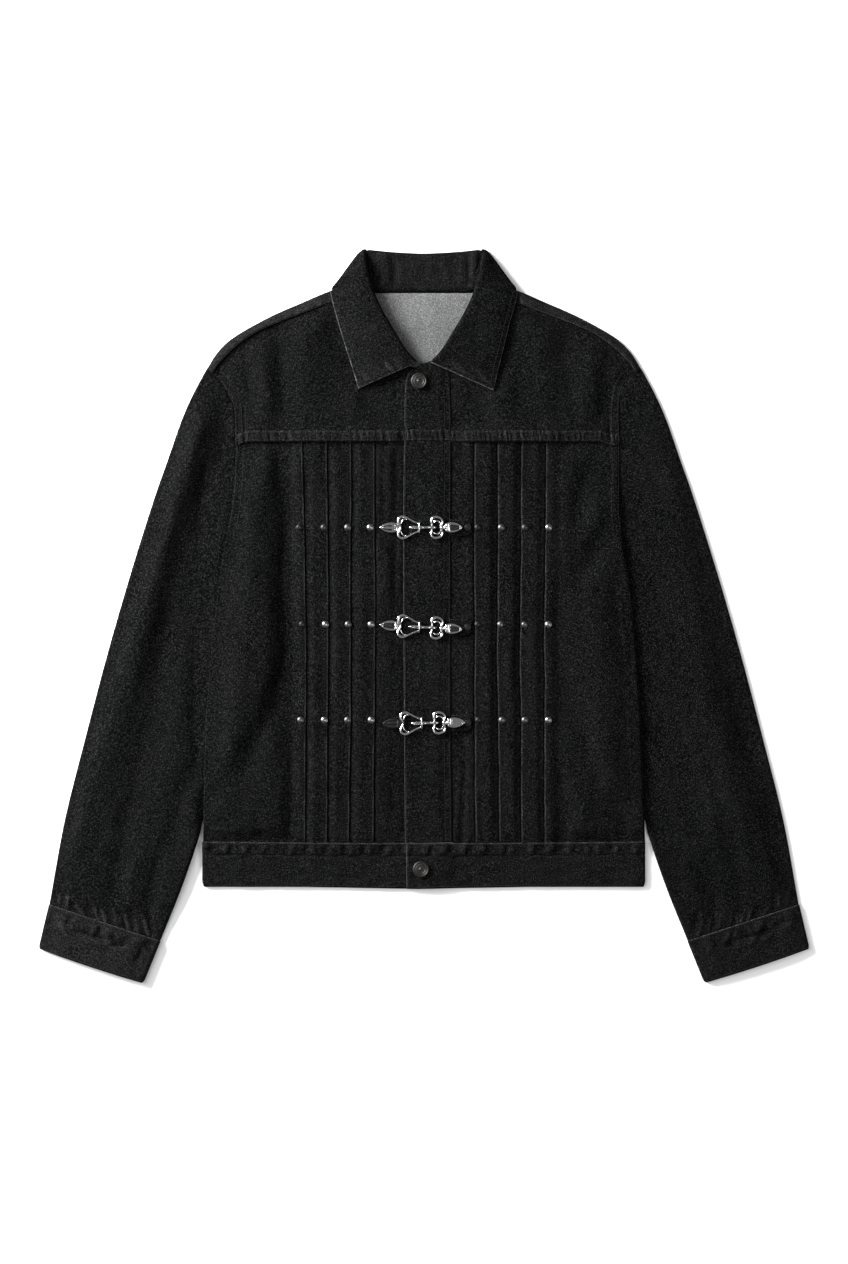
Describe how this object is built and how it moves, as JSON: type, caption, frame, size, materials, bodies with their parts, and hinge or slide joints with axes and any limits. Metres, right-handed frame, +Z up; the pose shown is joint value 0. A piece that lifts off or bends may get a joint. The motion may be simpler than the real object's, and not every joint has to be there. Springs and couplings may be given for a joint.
{
  "type": "denim jacket",
  "caption": "Black denim jacket laid flat: turned-down collar, chest yoke, pleated fronts, hook clasps over the front band, waistband and cuffs",
  "frame": {"origin": "on the surface it lies on, under the middle of its bounding box", "axes": "+X across the garment to the viewer's right, +Y towards the collar, +Z up off the surface, out of the front"},
  "size_m": [0.8084, 0.7684, 0.0119],
  "materials": {
    "denim": "black heather twill, matt, worn light along folded edges; the reverse is grey",
    "chrome": "polished",
    "gunmetal": "dark plated, satin",
    "nickel": "worn nickel"
  },
  "bodies": {
    "root": {"back_panel": "denim", "back_yoke": "denim", "front_yoke_left": "denim", "front_yoke_right": "denim", "front_left": "denim", "front_right": "denim", "placket": "denim", "waistband": "denim", "sleeve_left": "denim", "sleeve_right": "denim", "cuff_left": "denim", "cuff_right": "denim", "collar": "denim", "strap_left_1": "denim", "strap_right_1": "denim", "strap_left_2": "denim", "strap_right_2": "denim", "strap_left_3": "denim", "strap_right_3": "denim", "clasp_hook_1": "chrome", "clasp_ring_1": "chrome", "clasp_hook_2": "chrome", "clasp_ring_2": "chrome", "clasp_hook_3": "chrome", "clasp_ring_3": "chrome", "button_top": "gunmetal", "button_bottom": "gunmetal", "snap_1": "gunmetal", "snap_2": "gunmetal", "snap_3": "gunmetal", "rivet_left_1_1": "nickel", "rivet_left_1_2": "nickel", "rivet_left_1_3": "nickel", "rivet_left_1_4": "nickel", "rivet_left_2_1": "nickel", "rivet_left_2_2": "nickel", "rivet_left_2_3": "nickel", "rivet_left_2_4": "nickel", "rivet_left_3_1": "nickel", "rivet_left_3_2": "nickel", "rivet_left_3_3": "nickel", "rivet_left_3_4": "nickel", "rivet_right_1_1": "nickel", "rivet_right_1_2": "nickel", "rivet_right_1_3": "nickel", "rivet_right_1_4": "nickel", "rivet_right_2_1": "nickel", "rivet_right_2_2": "nickel", "rivet_right_2_3": "nickel", "rivet_right_2_4": "nickel", "rivet_right_3_1": "nickel", "rivet_right_3_2": "nickel", "rivet_right_3_3": "nickel", "rivet_right_3_4": "nickel"}
  },
  "joints": []
}
